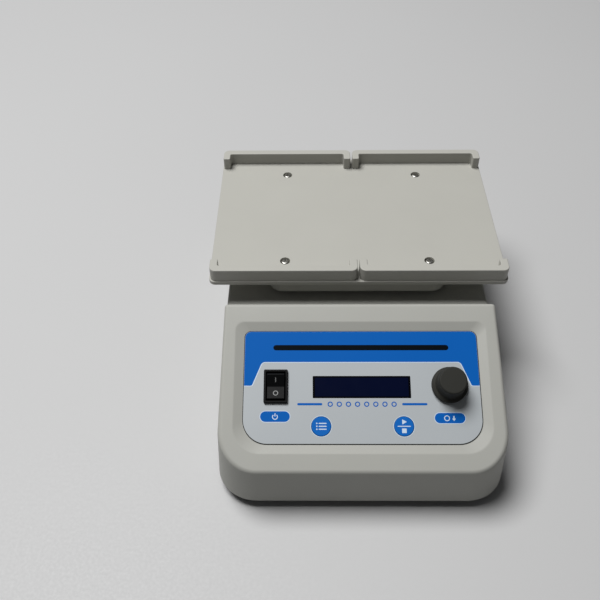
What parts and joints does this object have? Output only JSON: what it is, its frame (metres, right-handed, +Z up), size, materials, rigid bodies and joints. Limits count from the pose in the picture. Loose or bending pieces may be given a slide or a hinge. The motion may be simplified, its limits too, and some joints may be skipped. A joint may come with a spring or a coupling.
{
  "type": "orbital shaker",
  "caption": "Bench-top orbital shaker with a sloped control panel and a platform with nests for microplates, run round a small circle by an eccentric drive.",
  "frame": {"origin": "on the table, under the middle of the housing's outline", "axes": "+X to the right seen from the panel, +Y to the rear, +Z up"},
  "size_m": [0.2106, 0.272, 0.101],
  "materials": {
    "housing_plastic": "fine moulded texture",
    "platform_plastic": "satin moulded",
    "overlay_film": "printed film, satin",
    "key_blue": "smooth",
    "knob_plastic": "satin",
    "black_plastic": "satin",
    "window_tint": "polished tinted window",
    "display_glass": "polished",
    "rubber": "matte",
    "screw_steel": "zinc plated",
    "base_steel": "powder coated",
    "chassis_steel": "zinc plated sheet",
    "motor_paint": "satin paint",
    "stator_iron": "varnished laminations",
    "shaft_steel": "ground",
    "bearing_steel": "ground and polished",
    "cast_aluminium": "machined casting",
    "board_green": "solder mask",
    "board_tan": "paper laminate",
    "parts_dark": "moulded packages",
    "supply_parts": "tape and sleeves",
    "brass": "bright",
    "fuse_glass": "clear",
    "wire_insulation": "soft PVC",
    "plunger_plastic": "smooth"
  },
  "bodies": {
    "base": {"upper_housing": "housing_plastic", "base_plate": "base_steel", "rubber_feet": "rubber", "foot_screws": "screw_steel", "housing_screws": "screw_steel", "chassis_plate": "chassis_steel", "chassis_pillars": "shaft_steel", "chassis_screws": "screw_steel", "motor_can": "motor_paint", "motor_stator": "stator_iron", "motor_bearings": "bearing_steel", "motor_screws": "screw_steel", "guide_housings": "cast_aluminium", "guide_screws": "screw_steel", "guide_base_bearings": "bearing_steel", "deck_seals": "rubber", "panel_overlay": "overlay_film", "display_window": "window_tint", "display_module": "board_green", "display_glass": "display_glass", "control_board": "board_green", "board_components": "parts_dark", "board_screws": "screw_steel", "key_switches": "parts_dark", "encoder_body": "shaft_steel", "encoder_nut": "screw_steel", "rocker_frame": "black_plastic", "rocker_terminals": "brass", "power_inlet": "black_plastic", "inlet_pins": "shaft_steel", "inlet_screws": "screw_steel", "supply_board": "board_tan", "supply_components": "supply_parts", "supply_standoffs": "brass", "speed_sensor": "board_green", "wiring_harness": "wire_insulation"},
    "drive_crank": {"motor_rotor": "shaft_steel", "eccentric_hub": "cast_aluminium", "counterweight": "chassis_steel", "counterweight_screws": "screw_steel", "hub_set_screw": "screw_steel"},
    "platform": {"drive_bearing": "bearing_steel", "carriage_plate": "cast_aluminium", "guide_top_bearings": "bearing_steel", "nest_platform": "platform_plastic", "platform_screws": "screw_steel"},
    "guide_crank_front_left": {"guide_crank_front_left": "shaft_steel"},
    "guide_crank_front_right": {"guide_crank_front_right": "shaft_steel"},
    "guide_crank_rear_left": {"guide_crank_rear_left": "shaft_steel"},
    "guide_crank_rear_right": {"guide_crank_rear_right": "shaft_steel"},
    "select_key": {"select_key": "key_blue"},
    "start_stop_key": {"start_stop_key": "key_blue"},
    "encoder_plunger": {"encoder_plunger": "plunger_plastic"},
    "control_knob": {"encoder_shaft": "shaft_steel", "control_knob": "knob_plastic"},
    "rocker": {"rocker_paddle": "black_plastic"},
    "fuse_drawer": {"fuse_drawer": "black_plastic", "fuse_tubes": "fuse_glass"}
  },
  "joints": [
    {"name": "drive_spin", "type": "hinge", "parent": "base", "child": "drive_crank", "pos_m": [0, 0.059, 0.066], "axis": [0, 0, 1], "continuous": true},
    {"name": "platform_orbit", "type": "hinge", "parent": "drive_crank", "child": "platform", "pos_m": [0, 0.0605, 0.08], "axis": [0, 0, 1], "continuous": true},
    {"name": "guide_front_left_spin", "type": "hinge", "parent": "base", "child": "guide_crank_front_left", "pos_m": [-0.04, 0.021, 0.062], "axis": [0, 0, 1], "continuous": true},
    {"name": "guide_front_right_spin", "type": "hinge", "parent": "base", "child": "guide_crank_front_right", "pos_m": [0.04, 0.021, 0.062], "axis": [0, 0, 1], "continuous": true},
    {"name": "guide_rear_left_spin", "type": "hinge", "parent": "base", "child": "guide_crank_rear_left", "pos_m": [-0.04, 0.097, 0.062], "axis": [0, 0, 1], "continuous": true},
    {"name": "guide_rear_right_spin", "type": "hinge", "parent": "base", "child": "guide_crank_rear_right", "pos_m": [0.04, 0.097, 0.062], "axis": [0, 0, 1], "continuous": true},
    {"name": "rocker_tilt", "type": "hinge", "parent": "base", "child": "rocker", "pos_m": [-0.057, -0.08276, 0.06243], "axis": [-1, 0, 0], "range_deg": [0, 24]},
    {"name": "select_press", "type": "slide", "parent": "base", "child": "select_key", "axis": [0, 0.4226, -0.9063], "range_m": [0, 0.0003], "stiffness_N_per_m": 4000},
    {"name": "start_stop_press", "type": "slide", "parent": "base", "child": "start_stop_key", "axis": [0, 0.4226, -0.9063], "range_m": [0, 0.0003], "stiffness_N_per_m": 4000},
    {"name": "knob_push", "type": "slide", "parent": "base", "child": "encoder_plunger", "axis": [0, 0.4226, -0.9063], "range_m": [0, 0.0005], "stiffness_N_per_m": 5000},
    {"name": "knob_turn", "type": "hinge", "parent": "encoder_plunger", "child": "control_knob", "pos_m": [0.058, -0.08264, 0.06359], "axis": [0, -0.4226, 0.9063], "continuous": true},
    {"name": "fuse_drawer_slide", "type": "slide", "parent": "base", "child": "fuse_drawer", "axis": [0, 1, 0], "range_m": [0, 0.026]}
  ],
  "couplings": [
    {"joint": "platform_orbit", "follows": "drive_spin", "ratio": -1},
    {"joint": "guide_front_left_spin", "follows": "drive_spin", "ratio": 1},
    {"joint": "guide_front_right_spin", "follows": "drive_spin", "ratio": 1},
    {"joint": "guide_rear_left_spin", "follows": "drive_spin", "ratio": 1},
    {"joint": "guide_rear_right_spin", "follows": "drive_spin", "ratio": 1}
  ]
}
